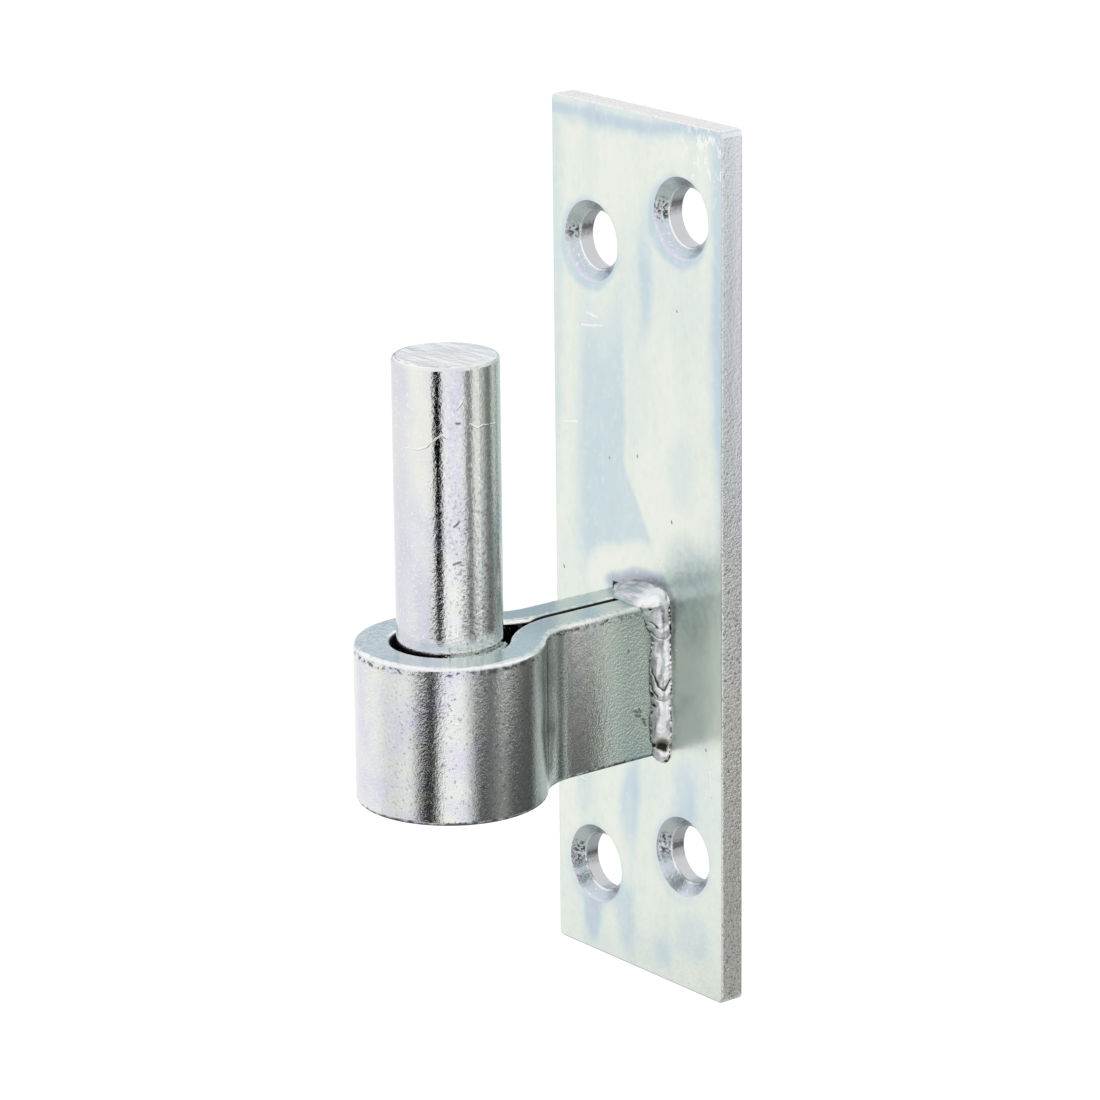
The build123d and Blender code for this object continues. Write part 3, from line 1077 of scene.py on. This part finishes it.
# The pin is welded in from below, where a crowned puddle closes the eye.
wear("pin_weld", weld_finish)

# A crust of the same metal has run up the front right of the gap between the pin and the eye.
crust_grains = 64
crust_start = 44.0
crust_end = 130.0
crust_seed = 11
rng = random.Random(crust_seed)
shape = bmesh.new()
shape.verts.layers.float.new("hollow")
for number in range(crust_grains):
    share = (number + rng.uniform(0.0, 1.0)) / crust_grains
    turned = math.radians(crust_start + (crust_end - crust_start) * share)
    out = rng.uniform(8.28, 8.66)
    size = rng.uniform(0.24, 0.42) * min(1.0, 0.35 + 3 * share)
    rise = strap_high.z / MM - rng.uniform(0.3, 0.6) - 1.2 * max(0.0, 0.2 - share)
    middle = (out * math.sin(turned), pin_middle.y / MM - out * math.cos(turned), rise)
    add_grain(shape, middle, size)
gap_crust = put_down(smoothed(shape), "gap_crust", weld_finish)
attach(gap_crust, "root")

# The camera stands to the front right, a little above the object.
azimuth = math.radians(51.76)
elevation = math.radians(16.37)
roll = math.radians(-0.62)
target = Vector((-13.85, -10.0, -1.8)) * MM
distance = 762.7 * MM
focal_px = 4958
frame_px = 1100
sensor = 36.0

back = Vector((
    math.sin(azimuth) * math.cos(elevation),
    -math.cos(azimuth) * math.cos(elevation),
    math.sin(elevation),
))
right = Vector((math.cos(azimuth), math.sin(azimuth), 0.0))
up = back.cross(right)
tilted_right = right * math.cos(roll) + up * math.sin(roll)
tilted_up = up * math.cos(roll) - right * math.sin(roll)
turn = Matrix((tilted_right, tilted_up, back)).transposed().to_4x4()

camera_data = bpy.data.cameras.new("camera")
camera_data.sensor_width = sensor
camera_data.lens = focal_px / frame_px * sensor
camera_data.clip_start = 0.05
camera_data.clip_end = 20.0
camera = bpy.data.objects.new("camera", camera_data)
camera.matrix_world = Matrix.Translation(target + back * distance) @ turn
bpy.context.scene.collection.objects.link(camera)
bpy.context.scene.camera = camera

# The floor is white card, below the part, with white all round it.
floor_drop = 160 * MM
floor_radius = 3.0
floor_z = plate_low.z - floor_drop


def blank_finish(name):
    """A finish with nothing in it, and the socket that its shader goes to."""
    made = bpy.data.materials.new(name)
    made.use_nodes = True
    nodes = made.node_tree.nodes
    nodes.remove(nodes["Principled BSDF"])
    return made, nodes["Material Output"].inputs["Surface"]


def seen_plainly(made):
    """1 for what the camera, the metal and glass see, and 0 for the light that falls on things."""
    rays = step(made, "ShaderNodeLightPath", {}).outputs
    seen = most(made, rays["Is Camera Ray"], rays["Is Glossy Ray"])
    return most(made, seen, rays["Is Transmission Ray"])


floor_white, floor_surface = blank_finish("floor_white")
card = step(floor_white, "ShaderNodeBsdfDiffuse", {"Color": (0.88, 0.88, 0.88, 1.0)})
floor_glow = times(floor_white, seen_plainly(floor_white), 0.32)
glow = step(floor_white, "ShaderNodeEmission", {"Strength": floor_glow})
both = step(floor_white, "ShaderNodeAddShader", {0: card.outputs[0], 1: glow.outputs[0]})
floor_white.node_tree.links.new(both.outputs[0], floor_surface)

shape = bmesh.new()
bmesh.ops.create_circle(shape, cap_ends=True, segments=96, radius=floor_radius)
bmesh.ops.translate(shape, verts=shape.verts, vec=(0, 0, floor_z))
floor = put_down(shape, "floor", floor_white)

# A tent of white cloth stands round the object, as in a studio, with dark flags and grey cards
# hung in it, on grey cloth. Only the metal shows it. Angles run to the right of the camera, seen
# from the pin.
tent_radius = 0.30
tent_low = -0.215
tent_high = 0.108
tent_seam = (-0.106, -0.092)
camera_side = math.radians(53.0)

# How light the cloth is at each angle, below the seam, which the eye mirrors, and above it.
tent_lower = (
    (-180, 0.95), (-98, 0.97), (-85, 0.80), (-66, 0.82), (-50, 0.90), (-42, 0.55),
    (-37, 0.05), (-21, 0.0), (-16, 0.60), (-13, 1.0), (8, 1.0), (20, 1.0), (26, 0.50),
    (31, 0.10), (42, 0.16), (55, 0.32), (66, 0.34), (73, 0.14), (95, 0.14), (112, 0.13),
    (125, 0.27), (140, 0.32), (165, 0.42), (180, 0.95),
)
tent_upper = (
    (-180, 0.92), (-75, 0.97), (-46, 0.95), (-34, 0.94), (-28.5, 0.88), (-26, 0.0),
    (-12, 0.0), (-9.5, 0.90), (-6, 1.0), (10, 1.0), (30, 1.0), (38, 0.85), (44, 0.24),
    (51, 0.30), (60, 1.0), (72, 1.0), (82, 0.60), (92, 0.28), (118, 0.14), (130, 0.27),
    (145, 0.42), (165, 0.55), (180, 0.85),
)
tent_floor_grey = (0.52, 0.54, 0.54)
tent_back_blue = (0.52, 0.61, 0.67)


def cloth_levels(made, turned, levels):
    """How light the tent is at each angle round it."""
    stops = [(angle / 360 + 0.5, (level, level, level)) for angle, level in levels]
    return colours(made, turned, stops)


def tent_cloth():
    """White cloth that glows by its angle round the pin and by its height."""
    made, surface = blank_finish("tent_cloth")
    place = place_on(made)
    from_pin = moved(made, "SUBTRACT", place, (pin_middle.x, pin_middle.y, 0))
    ahead = along(made, from_pin, (math.sin(camera_side), -math.cos(camera_side), 0))
    aside = along(made, from_pin, (math.cos(camera_side), math.sin(camera_side), 0))
    turned = sums(made, "ARCTAN2", aside, ahead)
    turned = shifted(made, turned, 1 / (2 * math.pi), 0.5)
    height = parted(made, place)["Z"]
    lower = cloth_levels(made, turned, tent_lower)
    upper = cloth_levels(made, turned, tent_upper)
    cloth = over(made, ease(made, height, *tent_seam), lower, upper)
    cloth = over(made, ease(made, height, -0.2, -0.214), cloth, tent_floor_grey)
    behind = ease(made, unsigned(made, less(made, turned, 0.5)), 0.38, 0.42)
    overhead = over(made, behind, (1.0, 1.0, 1.0), tent_back_blue)
    cloth = over(made, ease(made, height, 0.0, 0.03), cloth, overhead)
    glow = step(made, "ShaderNodeEmission", {"Color": cloth, "Strength": 1.0})
    made.node_tree.links.new(glow.outputs[0], surface)
    return made


shape = bmesh.new()
bmesh.ops.create_circle(shape, cap_ends=True, segments=120, radius=tent_radius)
rim = shape.edges[:]
bmesh.ops.translate(shape, verts=shape.verts, vec=(0, 0, tent_low))
raised = bmesh.ops.extrude_edge_only(shape, edges=rim)["geom"]
raised = [part for part in raised if isinstance(part, bmesh.types.BMVert)]
bmesh.ops.translate(shape, verts=raised, vec=(0, 0, tent_high - tent_low))
bmesh.ops.translate(shape, verts=shape.verts, vec=(pin_middle.x, pin_middle.y, 0))
tent = put_down(shape, "tent", tent_cloth())
tent.visible_camera = False
tent.visible_diffuse = False
tent.visible_shadow = False
tent.visible_transmission = False

# One wide soft lamp overhead and to the left, which the metal doesn't mirror, and white all round.
lamp_data = bpy.data.lights.new("soft_lamp", "AREA")
lamp_data.shape = "SQUARE"
lamp_data.size = 0.9
lamp_data.energy = 6.0
lamp = bpy.data.objects.new("soft_lamp", lamp_data)
lamp_place = Vector((-0.5, -0.8, 1.1))
lamp_turn = lamp_place.to_track_quat("Z", "Y").to_matrix().to_4x4()
lamp.matrix_world = Matrix.Translation(lamp_place) @ lamp_turn
lamp.visible_glossy = False
bpy.context.scene.collection.objects.link(lamp)

world = bpy.data.worlds.new("studio")
world.use_nodes = True
bpy.context.scene.world = world
sky = world.node_tree.nodes["Background"]
sky.inputs["Color"].default_value = (1.0, 1.0, 1.0, 1.0)
world.node_tree.links.new(span(world, seen_plainly(world), 0.75, 1.0), sky.inputs["Strength"])

bpy.context.scene.view_settings.view_transform = "Standard"
